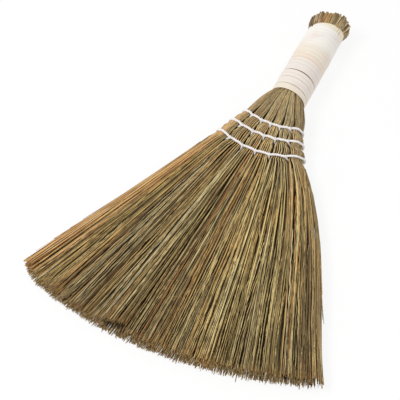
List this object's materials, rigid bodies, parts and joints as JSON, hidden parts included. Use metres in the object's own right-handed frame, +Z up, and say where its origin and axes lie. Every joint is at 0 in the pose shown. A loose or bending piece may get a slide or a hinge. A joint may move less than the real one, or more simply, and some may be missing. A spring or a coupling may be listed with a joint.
{
  "type": "whisk broom",
  "caption": "Hand broom of broomcorn straw with a wrapped round handle, a neck stitched with rows of white twine, and a wide flat fan of strands trimmed to a curved edge.",
  "frame": {"origin": "on the table, under the middle of the wrapped handle, where the wrap's underside rests", "axes": "+Y along the handle towards its butt, so the fan points to -Y; +Z up, square to the broom's broad face; +X to the right"},
  "size_m": [0.3015, 0.4151, 0.0415],
  "materials": {
    "hurl_1": "dry straw, matt, with fine grain along each strand",
    "hurl_2": "dry straw, matt, with fine grain along each strand",
    "hurl_3": "dry straw, matt, with fine grain along each strand",
    "hurl_4": "dry straw, matt, with fine grain along each strand",
    "hurl_5": "dry straw, matt, with fine grain along each strand",
    "hurl_6": "dry straw, matt, with fine grain along each strand",
    "stalks_1": "cut straw stalks, matt, darker at the cut ends",
    "stalks_2": "cut straw stalks, matt, darker at the cut ends",
    "stalks_3": "cut straw stalks, matt, darker at the cut ends",
    "stalks_4": "cut straw stalks, matt, darker at the cut ends",
    "stalks_5": "cut straw stalks, matt, darker at the cut ends",
    "stalks_6": "cut straw stalks, matt, darker at the cut ends",
    "handle_wrap": "pale strip with a slight sheen",
    "band_1": "white twisted twine",
    "thread_1": "thinner white twine",
    "band_2": "white twisted twine",
    "thread_2": "thinner white twine",
    "band_3": "white twisted twine",
    "thread_3": "thinner white twine"
  },
  "bodies": {
    "root": {"hurl_1": "hurl_1", "hurl_2": "hurl_2", "hurl_3": "hurl_3", "hurl_4": "hurl_4", "hurl_5": "hurl_5", "hurl_6": "hurl_6", "stalks_1": "stalks_1", "stalks_2": "stalks_2", "stalks_3": "stalks_3", "stalks_4": "stalks_4", "stalks_5": "stalks_5", "stalks_6": "stalks_6", "handle_wrap": "handle_wrap", "band_1": "band_1", "thread_1": "thread_1", "band_2": "band_2", "thread_2": "thread_2", "band_3": "band_3", "thread_3": "thread_3"}
  },
  "joints": []
}
